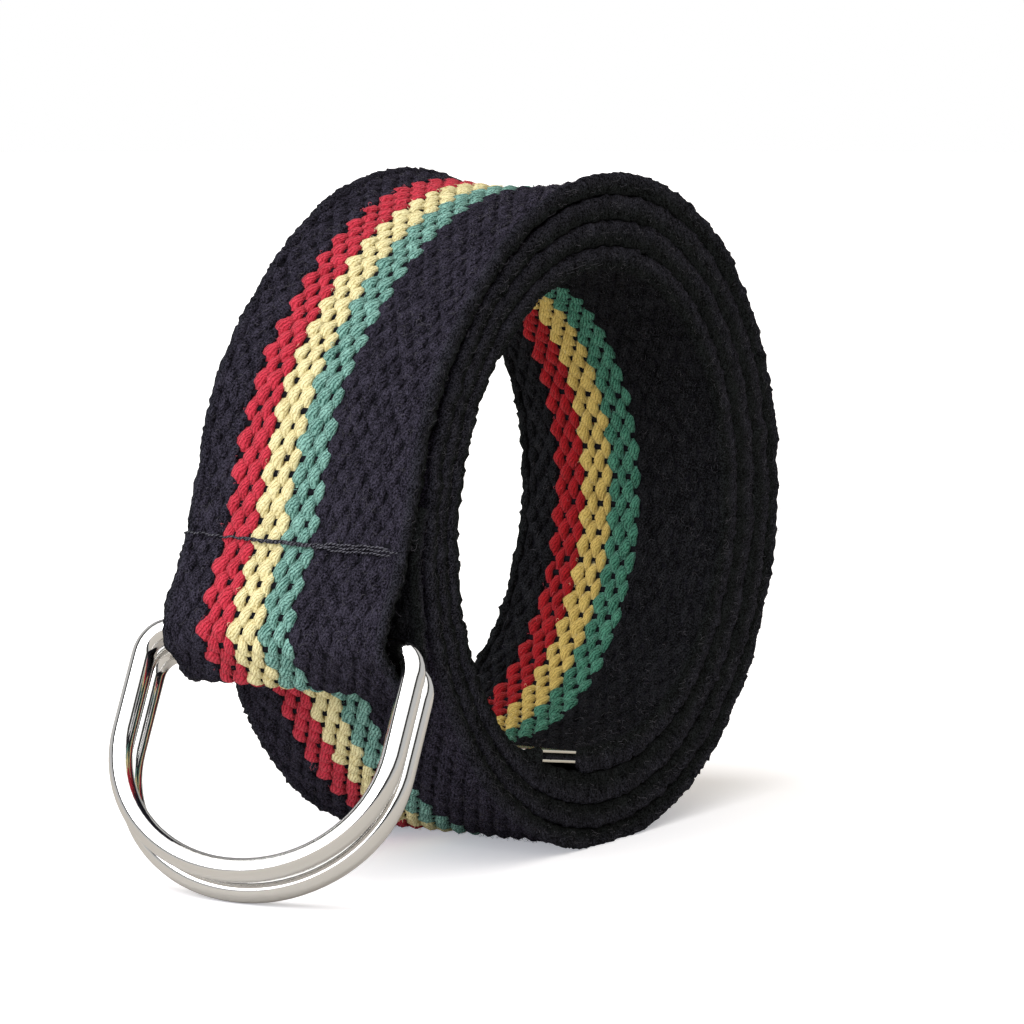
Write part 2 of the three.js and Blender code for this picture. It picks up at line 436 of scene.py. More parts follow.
# %% How each yarn differs
SIDE_PUSH = 0.12 * MM
BODY_CHANGE = 0.13
LOOSE_BODY = 0.97
FULL_BODY = 1.15
SEED = 11
rng = np.random.default_rng(SEED)


def kinds_of_ends():
    """The kind of each warp yarn, from the far edge: felted where it is charcoal, and thick at the edges."""
    kinds = []
    for stripe in STRIPES:
        kinds += ["felted" if stripe["finish"] == "charcoal" else "plain"] * stripe["ends"]
    kinds[0] = kinds[-1] = "rim"
    kinds[1] = kinds[-2] = "shoulder"
    return kinds


def of_each_end(name):
    return np.array([YARN_KINDS[kind][name] for kind in END_KINDS])


END_KINDS = kinds_of_ends()
end_wave = of_each_end("wave") * MM
end_thick = of_each_end("half_thick") * MM
end_float = of_each_end("float") * MM
end_lean = of_each_end("lean") * MM
end_rough = of_each_end("rough") * MM
end_swell = of_each_end("swell")
end_body = np.where(np.array(END_KINDS) == "plain", np.where(np.arange(ENDS) % 2, FULL_BODY, LOOSE_BODY), 1)
push = rng.normal(0, SIDE_PUSH, (ENDS, 2 * REPEATS + 3))
grow = rng.normal(0, BODY_CHANGE, (ENDS, 2 * REPEATS + 3))
print("yarns differ by", round(float(push.std() / MM), 3), "mm sideways")

# %% Where the stitches run
SEAM_Z = 50.4 * MM
SEAM_DENT = 0.35
SEAM_REACH = 1.3 * MM
SEAM_FALL = (0.45 * MM, 1.90 * MM, -1.15 * MM)


def seam_runs():
    """Where the line of stitches crosses the route: on the tail, and on the strap."""
    above = route[:, 1] > SEAM_Z
    crossings = np.nonzero(above[:-1] != above[1:])[0]
    return [float(route_run[i]) for i in crossings[:2]]


def seam_line(run_at, across):
    """Place along of the stitches: they fall a little in the far half, and run level in the near half."""
    way = 1 if run_at == SEAM_RUNS[1] else -1
    share = (WEB_WIDTH / 2 - across) / WEB_WIDTH
    start, slope, bend = SEAM_FALL
    return run_at - way * (start + slope * share + bend * share**2)


SEAM_RUNS = seam_runs()
print("the stitches cross the route at", SEAM_RUNS)

# %% [markdown]
# In the rolled belt the felted rims of neighbouring turns press on each other and close the gaps, so only
# shallow grooves show between them. Each rim is swollen by half the room to the next turn, which is read from
# the route itself. Places round the roll are counted in quarter turns, from the left side over the top.

# %% Room between the turns
RIM_ALONE = YARN_KINDS["rim"]["half_thick"] * MM
RIM_MOST = 2.9 * MM
FIRST_QUARTER = (180 - LEAVES_ROLL_DEG) / 90
UNDER_CLIP = ROLL_QUARTERS - QUARTERS_ROUND
EASE = 0.5
BULGE = 2.0 * MM
BULGE_OUT = 1.1 * MM
BULGE_AFTER = 0.9 * MM
BULGE_REACH = 2.4 * MM

route_angle = np.unwrap(np.arctan2(route[:, 1] - ROLL_HEIGHT, route[:, 0]))
route_quarters = (math.pi - route_angle) / (math.pi / 2)
route_radius = np.hypot(route[:, 0], route[:, 1] - ROLL_HEIGHT)
LAST_QUARTER = float(route_quarters[-1])
first_point = int(np.argmax(route_quarters > FIRST_QUARTER))
roll_quarters = route_quarters[first_point:]
roll_radii = route_radius[first_point:]
LAST_OUTSIDE = LAST_QUARTER - QUARTERS_ROUND
fold_of_clip = float(np.interp(LAST_OUTSIDE, roll_quarters, route_run[first_point:])) + BULGE_AFTER


def room_for_rims(run):
    """Half the way to the next turn of the roll, on the outer side and on the inner side. Below the end clip,
    which has no rim, all of the way."""
    quarters = np.interp(run, route_run, route_quarters)
    here = np.interp(quarters, roll_quarters, roll_radii)
    outer = (np.interp(quarters - QUARTERS_ROUND, roll_quarters, roll_radii) - here) / 2
    inner = here - np.interp(quarters + QUARTERS_ROUND, roll_quarters, roll_radii)
    at_clip = smoothstep(quarters, UNDER_CLIP - EASE / 4, UNDER_CLIP + EASE / 4)
    inner = inner / 2 * (1 - at_clip) + (inner - CLIP_HALF * MM) * at_clip
    first_inside = FIRST_QUARTER + QUARTERS_ROUND
    has_outer = smoothstep(quarters, first_inside, first_inside + EASE)
    has_inner = 1 - smoothstep(quarters, LAST_OUTSIDE, LAST_OUTSIDE + EASE / 4)
    has_inner = has_inner * smoothstep(quarters, FIRST_QUARTER, FIRST_QUARTER + EASE)
    rooms = []
    for room, has in ((outer, has_outer), (inner, has_inner)):
        room = np.clip(room, RIM_ALONE, RIM_MOST)
        rooms.append(RIM_ALONE + (room - RIM_ALONE) * has)
    return rooms


def bulge_at_clip(run, across):
    """The near rim is thick where the fold of the clip is pressed against it, and hides it."""
    return np.exp(-((run - fold_of_clip) / BULGE_REACH) ** 2) * (across < 0)


print("rims swell to", [round(float(room.max() / MM), 2) for room in room_for_rims(route_run)], "mm each way")

# %% Push, plump and swell the yarns
INSIDE_REACH = 0.5 * MM
INSIDE_WAIST = 0.30
RIM_GROWS_FROM = 42 * MM
RIM_GROWN_AT = 75 * MM
FOLD_RIM = 0.75


def at_floats(table, end, along):
    """Numbers from a table with a row for each yarn and a column for each float, blended between floats."""
    place = along / PICK
    before = np.clip(place.astype(int), 0, table.shape[1] - 2)
    blend = place - before
    return table[end, before] * (1 - blend) + table[end, before + 1] * blend


def plump_yarns(mesh, flat, end):
    """Pushes and plumps each float in its own way, and keeps what the material reads."""
    middle = -end * END_PITCH
    over = np.where(end % 2, -1, 1)
    phase = 2 * np.pi * flat[:, 0] / REPEAT
    side = flat[:, 1] - middle
    rise = flat[:, 2] - over * wave_shape(phase) * end_wave[end]
    remember(mesh, "yarn", np.stack([side / end_float[end], rise / end_thick[end], flat[:, 0]], axis=1))
    inside = smoothstep(-flat[:, 2], -INSIDE_REACH, INSIDE_REACH)
    # The material paints shade on the inner side of the belt with this mask.
    remember(mesh, "inside", inside)
    body = end_body[end] * (1 + at_floats(grow, end, flat[:, 0]))
    body *= 1 - INSIDE_WAIST * (inside * np.sin(phase)) ** 2
    leaning = -over * end_lean[end] * np.sin(phase) * (1 - inside)
    pushed = at_floats(push, end, flat[:, 0])
    flat[:, 1] = END_PITCH * (ENDS - 1) / 2 + middle + side * body + pushed + leaning


def swell_rims(flat, end):
    """Swells the rims into the room between the turns, and dents the cloth where the stitches pull it."""
    seam = sum(np.exp(-((flat[:, 0] - seam_line(run, flat[:, 1])) / SEAM_REACH) ** 2) for run in SEAM_RUNS)
    outer, inner = room_for_rims(flat[:, 0])
    swell = 1 + (np.where(flat[:, 2] > 0, outer, inner) / RIM_ALONE - 1) * end_swell[end]
    bulge = bulge_at_clip(flat[:, 0], flat[:, 1]) * np.where(flat[:, 2] < 0, end_swell[end], 0)
    swell += bulge * BULGE / RIM_ALONE
    flat[:, 1] -= bulge * BULGE_OUT
    grown = FOLD_RIM + (1 - FOLD_RIM) * smoothstep(flat[:, 0], RIM_GROWS_FROM, RIM_GROWN_AT)
    flat[:, 2] *= (1 - SEAM_DENT * seam) * np.where(end_swell[end] > 0, grown * swell, 1)


print("on the inner side, a yarn's waist is", INSIDE_WAIST, "narrower between its floats")


# %% Weave the stripes
def stripe_mesh(name, first_end, ends):
    bm = bmesh.new()
    for end in range(first_end, first_end + ends):
        known = len(bm.verts)
        bm.from_mesh(whole_yarns[END_KINDS[end]])
        bm.verts.ensure_lookup_table()
        fresh = bm.verts[known:]
        if end % 2:
            bmesh.ops.scale(bm, vec=(1, 1, -1), verts=fresh)
        bmesh.ops.translate(bm, vec=(0, -end * END_PITCH, 0), verts=fresh)
    close_ends(bm)
    bmesh.ops.recalc_face_normals(bm, faces=bm.faces)
    return mesh_from(bm, name)


def settle(mesh, first_end, ends):
    """Gives each float its own push and body, and bends the flat cloth along the route."""
    flat = get_places(mesh)
    ends = range(first_end, first_end + ends)
    end = np.repeat(ends, [len(whole_yarns[END_KINDS[number]].vertices) for number in ends])
    plump_yarns(mesh, flat, end)
    swell_rims(flat, end)
    flat += rng.normal(0, 1, flat.shape) * end_rough[end][:, None]
    laid = lay_on_route(flat)
    laid[:, 2] = np.maximum(laid[:, 2], 0)
    set_places(mesh, laid)
    shade_smooth(mesh)


yarn_pieces = []
first_end = 0
for stripe in STRIPES:
    mesh = stripe_mesh(stripe["name"], first_end, stripe["ends"])
    settle(mesh, first_end, stripe["ends"])
    piece = new_object(stripe["name"], mesh)
    yarn_pieces.append((piece, stripe["finish"]))
    first_end += stripe["ends"]
    print(stripe["name"], len(mesh.polygons), "faces")

# %% [markdown]
# The weft is one dark yarn that runs to and fro between the warp yarns and turns round inside the yarns of
# the rim. It shows only in the small holes, and without it they would be open; its near-black colour also
# paints the shade in those holes. A circle is extruded across, turned round step by step, and extruded back,
# and an Array modifier repeats that.

# %% Weft
WEFT_HALF_WIDTH = 0.55 * MM
WEFT_HALF_THICK = 0.42 * MM
WEFT_SIDES = 6
CROSS_STEPS = 6
TURN_STEPS = 5
TURN_RADIUS = PICK / 2
TURN_COVER = 0.9 * MM
TURN_AT = WEB_WIDTH / 2 - TURN_RADIUS - TURN_COVER


def grow_tube(bm, edges, change):
    """Extrudes the open end of a tube and moves the new end by a matrix."""
    grown = bmesh.ops.extrude_edge_only(bm, edges=edges)["geom"]
    verts = [item for item in grown if isinstance(item, bmesh.types.BMVert)]
    bmesh.ops.transform(bm, matrix=change, verts=verts)
    return [item for item in grown if isinstance(item, bmesh.types.BMEdge) and item.is_boundary]


def weft_repeat():
    """The weft over two picks: across, round, back, and round again. It lies at the height of the middle."""
    bm = bmesh.new()
    ring = bmesh.ops.create_circle(bm, segments=WEFT_SIDES, radius=1)["verts"]
    bmesh.ops.scale(bm, vec=(WEFT_HALF_WIDTH, WEFT_HALF_THICK, 1), verts=ring)
    stand = Matrix.Rotation(math.pi / 2, 4, "X")
    bmesh.ops.transform(bm, matrix=Matrix.Translation((0, -TURN_AT, 0)) @ stand, verts=ring)
    edges = edges_of(ring)
    for way in (1, -1):
        for _ in range(CROSS_STEPS):
            edges = grow_tube(bm, edges, Matrix.Translation((0, way * 2 * TURN_AT / CROSS_STEPS, 0)))
        middle = Matrix.Translation((PICK * (1 if way == 1 else 2) - TURN_RADIUS, way * TURN_AT, 0))
        turn = middle @ Matrix.Rotation(-way * math.pi / TURN_STEPS, 4, "Z") @ middle.inverted()
        for _ in range(TURN_STEPS):
            edges = grow_tube(bm, edges, turn)
    return mesh_from(bm, "weft_repeat")


weft_mesh = lined_up(weft_repeat(), REPEAT, REPEATS - 1)
bm = bmesh.new()
bm.from_mesh(weft_mesh)
close_ends(bm)
bmesh.ops.translate(bm, vec=(PICK, 0, 0), verts=bm.verts)
bmesh.ops.recalc_face_normals(bm, faces=bm.faces)
bm.to_mesh(weft_mesh)
bm.free()
set_places(weft_mesh, lay_on_route(get_places(weft_mesh)))
shade_smooth(weft_mesh)
weft = new_object("weft_yarn", weft_mesh)
print("weft", len(weft_mesh.polygons), "faces")

# %% [markdown]
# Worn cotton is covered in loose fibres, which blur the weave and catch the light. A hair system could grow
# them, but it isn't part of the mesh, so each fibre is a hair-thin tube with three sides. One straight fibre
# is repeated by an Array modifier. Code then gives each its own root on a visible face or edge of the cloth,
# a direction, a length and a curl, before all are bent along the route.

# %% Loose fibres
FIBRE_RADIUS = 0.025 * MM
FIBRE_STEPS = 4
FIBRE_SIDES = 3
FIBRE_LENGTH = (0.4 * MM, 1.3 * MM)
COLOURED_SHARE = 0.60
COLOURED_BAND = (-4.5 * MM, 12.5 * MM)
FIBRE_ROOT = 0.80 * MM
FIBRE_RISE = (0.15 * MM, 0.50 * MM)
FIBRE_ARCH = 1.1
RIM_ROOT = 0.2 * MM
CURL = 3.4
OUTER_FROM = 2 * MM
OUTER_TO = 0.375
INNER_FROM = WEB_LENGTH - 0.265
EDGE_FROM = 1 * MM
FIBRES_TO = WEB_LENGTH - (CLIP_LENGTH + 1) * MM
FACE_OUTER = 3000
FACE_INNER = 1200
EDGE_FIBRES = 2800


def fibre_mesh(count):
    """Straight fibres in a row along X, each closed at both ends."""
    bm = bmesh.new()
    ring = bmesh.ops.create_circle(bm, segments=FIBRE_SIDES, radius=FIBRE_RADIUS)["verts"]
    edges = edges_of(ring)
    for _ in range(FIBRE_STEPS):
        edges = grow_tube(bm, edges, Matrix.Translation((0, 0, MM)))
    close_ends(bm)
    bmesh.ops.recalc_face_normals(bm, faces=bm.faces)
    return lined_up(mesh_from(bm, "fibre"), MM, count)


def fibre_roots(count):
    """Place along, place across and side of the cloth for each fibre."""
    outer, inner, edge = count
    along = np.concatenate([
        rng.uniform(OUTER_FROM, OUTER_TO, outer),
        rng.uniform(INNER_FROM, FIBRES_TO, inner),
        rng.uniform(EDGE_FROM, FIBRES_TO, edge),
    ])
    across = rng.uniform(-WEB_WIDTH / 2, WEB_WIDTH / 2, outer + inner)
    rim = rng.choice((-1, 1), edge) * (WEB_WIDTH / 2 - RIM_ROOT)
    face = np.concatenate([np.ones(outer), -np.ones(inner), rng.uniform(-1, 1, edge)])
    return along, np.concatenate([across, rim]), face


def loose_fibres(count):
    total = sum(count)
    mesh = fibre_mesh(total)
    places = get_places(mesh)
    number = np.clip(np.round(places[:, 0] / MM).astype(int), 0, total - 1)
    t = places[:, 2] / (FIBRE_STEPS * MM)
    section = np.stack([places[:, 0] - number * MM, places[:, 1]], axis=1)
    along, across, face = (values[number] for values in fibre_roots(count))
    coloured = (across > COLOURED_BAND[0]) & (across < COLOURED_BAND[1])
    length = rng.uniform(*FIBRE_LENGTH, total)[number] * np.where(coloured, COLOURED_SHARE, 1)
    heading = rng.uniform(0, 2 * math.pi, total)[number]
    curl = rng.normal(0, CURL, total)[number]
    rise = rng.uniform(*FIBRE_RISE, total)[number]
    turned = heading + curl * t / 2
    run = along + length * t * np.cos(turned)
    side = across + length * t * np.sin(turned)
    height = face * (FIBRE_ROOT + rise * np.sin(math.pi * np.minimum(t * FIBRE_ARCH, 1)))
    flat = np.stack([run + section[:, 0], side + section[:, 1], height + section[:, 0]], axis=1)
    laid = lay_on_route(flat)
    laid[:, 2] = np.maximum(laid[:, 2], FIBRE_RADIUS)
    set_places(mesh, laid)
    shade_smooth(mesh)
    return mesh, across


fuzz_mesh, fuzz_across = loose_fibres((FACE_OUTER, FACE_INNER, EDGE_FIBRES))
fuzz = new_object("loose_fibres", fuzz_mesh)
print("fibres", len(fuzz_mesh.polygons), "faces")

# %% [markdown]
# One line of stitches holds the fold shut. Its thread is twisted like a rope and pulled down into the cloth,
# and towards the near edge its strands have come apart and lie side by side. Each strand is a curve with a
# round section, and the curve is made a mesh once it is shaped. Places across are in millimetres.

# %% Stitches
THREAD_RADIUS = 0.16 * MM
THREAD_POINTS = 110
THREAD_LAY = 2.6 * MM
STRANDS_OF_THREAD = (
    {"from": 19.1, "to": -17.6, "turn": 0.0, "fan": 0.0},
    {"from": 9.5, "to": -15.8, "turn": 0.5, "fan": 0.50},
    {"from": 5.0, "to": -16.6, "turn": 0.25, "fan": -0.50},
)
SPLITS_AT = -2.5
SPLIT_BY = -7.5
UNTWIST = 0.85
SINKS_OVER = 1.5
SUNK_SHARE = 0.5
SEAM_HEIGHT = WEB_THICK / 2 * (1 - SEAM_DENT) + THREAD_RADIUS
WANDERS = ({"by": 0.06, "rate": 0.9, "shift": 0}, {"by": 0.05, "rate": 2.3, "shift": 9})


def strand_places(strand, run_at):
    """Middle of one strand, laid across the cloth at a place along it, and its places across."""
    across = np.linspace(strand["from"], strand["to"], THREAD_POINTS)
    split = smoothstep(-across, -SPLITS_AT, -SPLIT_BY)
    angle = 2 * np.pi * (across * MM / THREAD_LAY + strand["turn"])
    hug = THREAD_RADIUS * (1 - UNTWIST * split)
    wander = sum(row["by"] * np.sin(across * row["rate"] + row["shift"] * strand["turn"]) for row in WANDERS)
    way = 1 if run_at == SEAM_RUNS[1] else -1
    along = seam_line(run_at, across * MM) + hug * np.cos(angle) + (way * strand["fan"] * split + wander) * MM
    sunk = smoothstep(across, strand["to"], strand["to"] + SINKS_OVER)
    sunk = sunk * (1 - smoothstep(across, strand["from"] - SINKS_OVER, strand["from"]))
    height = SEAM_HEIGHT * (SUNK_SHARE + (1 - SUNK_SHARE) * sunk) + hug * np.sin(angle)
    return lay_on_route(np.stack([along, across * MM, height], axis=1)), across * MM


def strand_mesh(laid, across):
    """A round tube whose vertices remember their place round it and their place along it."""
    curve = bpy.data.curves.new("strand", "CURVE")
    curve.dimensions = "3D"
    curve.bevel_depth = THREAD_RADIUS
    curve.bevel_resolution = 1
    curve.use_fill_caps = True
    spline = curve.splines.new("POLY")
    spline.points.add(THREAD_POINTS - 1)
    spline.points.foreach_set("co", np.hstack([laid, np.ones((THREAD_POINTS, 1))]).ravel())
    mesh = finished_mesh(new_object("strand", curve))
    places = get_places(mesh)
    point = np.argmin(np.linalg.norm(places[:, None, :] - laid[None, :, :], axis=2), axis=1)
    out = places - laid[point]
    level = np.hypot(out[:, 0], out[:, 1]) * np.sign(-out[:, 0])
    around = np.stack([out[:, 2], level], axis=1) / THREAD_RADIUS
    remember(mesh, "yarn", np.column_stack([around, across[point]]))
    return mesh


bm = bmesh.new()
for run_at in SEAM_RUNS:
    for strand in STRANDS_OF_THREAD:
        bm.from_mesh(strand_mesh(*strand_places(strand, run_at)))
bmesh.ops.recalc_face_normals(bm, faces=bm.faces)
seam_mesh = mesh_from(bm, "seam_thread")
shade_smooth(seam_mesh)
seam = new_object("seam_thread", seam_mesh)
print("seam thread", len(seam_mesh.polygons), "faces")

# %% [markdown]
# The D-rings are bent wire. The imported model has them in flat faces, so each is replaced by the same shape
# with a rounder section. It could be a bevelled curve, but circles that stand round the D outline, each
# bridged to the next into a closed loop, keep the faces even in the corners.

# %% D-rings
RING_HALF_WIDTH = 23.1 * MM
RING_CORNER = 4 * MM
RING_SIDE = 15.5 * MM
RING_DEPTH = 34 * MM
RING_LEAN_DEG = 25
WIRE_RADIUS = WIRE / 2 * MM
WIRE_SIDES = 20
CORNER_STEPS = 8
BOW_STEPS = 40


def arc(centre, radii, start, end, steps):
    """Places (across, down) on a round stretch, from one angle to another."""
    angles = [start + (end - start) * step / steps for step in range(steps + 1)]
    return [(centre[0] + radii[0] * math.cos(a), centre[1] + radii[1] * math.sin(a)) for a in angles]


def ring_outline():
    """Places round the D: along the bar, down one side, round the bow and up the other side."""
    straight = RING_HALF_WIDTH - RING_CORNER
    corner = (RING_CORNER, RING_CORNER)
    bow = (RING_HALF_WIDTH, RING_DEPTH - RING_SIDE)
    outline = arc((straight, RING_CORNER), corner, -math.pi / 2, 0, CORNER_STEPS)
    outline += arc((0, RING_SIDE), bow, 0, math.pi, BOW_STEPS)
    outline += arc((-straight, RING_CORNER), corner, math.pi, 3 * math.pi / 2, CORNER_STEPS)
    return [Vector((0, across, -down)) for across, down in outline]


def ring_mesh(name, bar):
    outline = ring_outline()
    bm = bmesh.new()
    loops = []
    for i, here in enumerate(outline):
        along = (outline[(i + 1) % len(outline)] - outline[i - 1]).normalized()
        ring = bmesh.ops.create_circle(bm, segments=WIRE_SIDES, radius=WIRE_RADIUS)["verts"]
        across = Vector((1, 0, 0))
        facing = Matrix((across, along.cross(across), along)).transposed().to_4x4()
        bmesh.ops.transform(bm, matrix=Matrix.Translation(here) @ facing, verts=ring)
        loops.append(edges_of(ring))
    for i, loop in enumerate(loops):
        bmesh.ops.bridge_loops(bm, edges=loops[i - 1] + loop)
    bmesh.ops.recalc_face_normals(bm, faces=bm.faces)
    lean = Matrix.Rotation(math.radians(RING_LEAN_DEG), 4, "Y")
    bmesh.ops.transform(bm, matrix=Matrix.Translation(bar * MM) @ lean, verts=bm.verts)
    mesh = mesh_from(bm, name)
    shade_smooth(mesh)
    return mesh


front_ring = new_object("front_ring_wire", ring_mesh("front_ring_wire", FRONT_BAR))
back_ring = new_object("back_ring_wire", ring_mesh("back_ring_wire", BACK_BAR))
print("each ring has", len(front_ring.data.polygons), "faces")

# %% [markdown]
# The end clip is a strip of thin sheet folded over the cut end of the webbing. It could be cut from a block,
# but a real one is bent: so a row of edges that follows the fold is extruded across the webbing, solidify
# gives the sheet its thickness, and bevel breaks its edges slightly.

# %% End clip
CLIP_FOLD_STEPS = 10
CLIP_EDGE = 0.12
SHARP = math.radians(60)


def clip_mesh():
    bm = bmesh.new()
    half = CLIP_HALF - CLIP_SHEET / 2
    bend = CLIP_LENGTH - CLIP_HALF
    places = [(0, -half), (bend / 2, -half), (bend, -half)]
    for step in range(1, CLIP_FOLD_STEPS):
        angle = -math.pi / 2 + math.pi * step / CLIP_FOLD_STEPS
        places.append((bend + half * math.cos(angle), half * math.sin(angle)))
    places += [(bend, half), (bend / 2, half), (0, half)]
    near = [bm.verts.new((x, -WEB_WIDTH / MM / 2, z)) for x, z in places]
    edges = [bm.edges.new(pair) for pair in zip(near, near[1:])]
    grown = bmesh.ops.extrude_edge_only(bm, edges=edges)["geom"]
    far = [item for item in grown if isinstance(item, bmesh.types.BMVert)]
    bmesh.ops.translate(bm, vec=(0, WEB_WIDTH / MM, 0), verts=far)
    bmesh.ops.recalc_face_normals(bm, faces=bm.faces)
    bmesh.ops.solidify(bm, geom=bm.faces[:], thickness=CLIP_SHEET)
    bmesh.ops.recalc_face_normals(bm, faces=bm.faces)
    sharp = [edge for edge in bm.edges if edge.is_manifold and edge.calc_face_angle() > SHARP]
    bmesh.ops.bevel(bm, geom=sharp, offset=CLIP_EDGE, affect="EDGES", segments=2, profile=0.5, material=-1)
    turn = Matrix.Rotation(math.radians(180 + CLIP_RISE_DEG), 4, "Y")
    bmesh.ops.transform(bm, matrix=Matrix.Translation(CLIP_MOUTH) @ turn, verts=bm.verts)
    bmesh.ops.scale(bm, vec=(MM, MM, MM), verts=bm.verts)
    return mesh_from(bm, "clip_sheet")


clip = new_object("clip_sheet", clip_mesh())

# %% [markdown]
# Every finish is made of nodes that read places on the piece itself, so nothing has to be painted, and a
# pattern moves with its piece. Adding nodes one line at a time gets long, so each helper adds and links one.

# %% Helpers for materials
MEAN_NOISE = 0.5
WHITE = (1.0, 1.0, 1.0, 1)


def new_group(name, inputs, outputs):
    group = bpy.data.node_groups.new(name, "ShaderNodeTree")
    for title, kind, value in inputs:
        socket = group.interface.new_socket(title, in_out="INPUT", socket_type=kind)
        socket.default_value = value
    for title, kind in outputs:
        group.interface.new_socket(title, in_out="OUTPUT", socket_type=kind)
    return group, group.nodes.new("NodeGroupInput"), group.nodes.new("NodeGroupOutput")


def math_node(tree, operation, first, second=0.0, clamp=False):
    node = tree.nodes.new("ShaderNodeMath")
    node.operation = operation
    node.use_clamp = clamp
    for socket, value in zip(node.inputs, (first, second)):
        if isinstance(value, (int, float)):
            socket.default_value = value
        else:
            tree.links.new(value, socket)
    return node.outputs[0]


def blend_node(tree, factor, first, second, blend="MIX"):
    """Two colours mixed. The node's colour sockets share their names with others, so they go by number."""
    node = tree.nodes.new("ShaderNodeMix")
    node.data_type = "RGBA"
    node.blend_type = blend
    for socket, value in ((node.inputs["Factor"], factor), (node.inputs[6], first), (node.inputs[7], second)):
        if isinstance(value, (int, float, tuple)):
            socket.default_value = value
        else:
            tree.links.new(value, socket)
    return node.outputs[2]


def noise_node(tree, vector, scale, detail, roughness):
    node = tree.nodes.new("ShaderNodeTexNoise")
    tree.links.new(vector, node.inputs["Vector"])
    node.inputs["Scale"].default_value = scale
    node.inputs["Detail"].default_value = detail
    node.inputs["Roughness"].default_value = roughness
    return node.outputs["Fac"]


def attribute_node(tree, name):
    node = tree.nodes.new("ShaderNodeAttribute")
    node.attribute_name = name
    return node


def add_bump(tree, shader, height, depth, strength):
    node = tree.nodes.new("ShaderNodeBump")
    node.inputs["Distance"].default_value = depth
    node.inputs["Strength"].default_value = strength
    tree.links.new(height, node.inputs["Height"])
    tree.links.new(node.outputs["Normal"], shader.inputs["Normal"])


def stretched(tree, value, gain):
    """A noise pushed away from its middle value, so that it shows."""
    above = math_node(tree, "SUBTRACT", value, MEAN_NOISE)
    return math_node(tree, "ADD", math_node(tree, "MULTIPLY", above, gain), MEAN_NOISE, clamp=True)


def plain_material(name, roughness, metallic=0.0):
    material = bpy.data.materials.new(name)
    material.use_nodes = True
    shader = material.node_tree.nodes["Principled BSDF"]
    shader.inputs["Roughness"].default_value = roughness
    shader.inputs["Metallic"].default_value = metallic
    return material, material.node_tree, shader


print("materials of the packed model", sorted(material.name for material in bpy.data.materials))

# %% [markdown]
# A soft cotton yarn is a few strands twisted together, with short fibres all over it. Modelling each strand
# would take millions of faces, so a node group works the twist out from the place on the yarn that each
# vertex remembers: the angle round the yarn plus the way along it gives slanting strands. The group puts out
# masks that each finish mixes in its own way. Three of them paint shade into the colour: the strand mask
# darkens the creases between the strands, the edge mask the grooves along both edges of the webbing, and the
# inside mask the inner side of the belt. A noise is given by its scale, detail and roughness.

# %% Twist of the yarn
STRANDS = 10
STRAND_POWER = 0.7
LAY = 11 * MM
WOBBLE = 1.1
WOBBLE_NOISE = (900, 2.0, 0.5)
FIBRE_NOISE = (3900, 3.0, 0.75)
FIBRE_GAIN = 2.2
MOTTLE_NOISE = (420, 2.0, 0.5)
# Both edges of the webbing are painted darker from here out, as shade in the grooves between the turns.
EDGE_SHADE_FROM = 17.3 * MM
EDGE_SHADE_BY = 18.5 * MM


def twist_group():
    group, given, result = new_group(
        "yarn_twist",
        (("Strands", "NodeSocketFloat", STRANDS), ("Lay", "NodeSocketFloat", LAY)),
        (("Strand", "NodeSocketFloat"), ("Fibre", "NodeSocketFloat"), ("Mottle", "NodeSocketFloat"),
         ("Edge", "NodeSocketFloat"), ("Inside", "NodeSocketFloat")),
    )
    parts = group.nodes.new("ShaderNodeSeparateXYZ")
    group.links.new(attribute_node(group, "yarn").outputs["Vector"], parts.inputs[0])
    spot = group.nodes.new("ShaderNodeTexCoord").outputs["Object"]
    # The strand mask sets the bump, and in each finish it also paints shade into the creases between the
    # strands.
    angle = math_node(group, "ARCTAN2", parts.outputs["Y"], parts.outputs["X"])
    turns = math_node(group, "DIVIDE", parts.outputs["Z"], given.outputs["Lay"])
    twisted = math_node(group, "SUBTRACT", angle, math_node(group, "MULTIPLY", turns, 2 * math.pi))
    wobble = math_node(group, "MULTIPLY", noise_node(group, spot, *WOBBLE_NOISE), WOBBLE)
    phase = math_node(group, "MULTIPLY", math_node(group, "ADD", twisted, wobble), given.outputs["Strands"])
    wave = math_node(group, "SINE", math_node(group, "DIVIDE", phase, 2))
    strand = math_node(group, "POWER", math_node(group, "ABSOLUTE", wave), STRAND_POWER)
    group.links.new(strand, result.inputs["Strand"])
    fibre = stretched(group, noise_node(group, spot, *FIBRE_NOISE), FIBRE_GAIN)
    group.links.new(fibre, result.inputs["Fibre"])
    group.links.new(noise_node(group, spot, *MOTTLE_NOISE), result.inputs["Mottle"])
    # Edge: painted shade along both edges of the webbing, in the grooves where the turns meet.
    sides = group.nodes.new("ShaderNodeSeparateXYZ")
    group.links.new(spot, sides.inputs[0])
    past = math_node(group, "SUBTRACT", math_node(group, "ABSOLUTE", sides.outputs["Y"]), EDGE_SHADE_FROM)
    edge = math_node(group, "DIVIDE", past, EDGE_SHADE_BY - EDGE_SHADE_FROM, clamp=True)
    group.links.new(edge, result.inputs["Edge"])
    # Inside: where the material paints shade on the inner side of the belt.
    group.links.new(attribute_node(group, "inside").outputs["Fac"], result.inputs["Inside"])
    return group


TWIST = twist_group()
print("the yarn's group puts out", [item.name for item in TWIST.nodes["Group Output"].inputs if item.name])
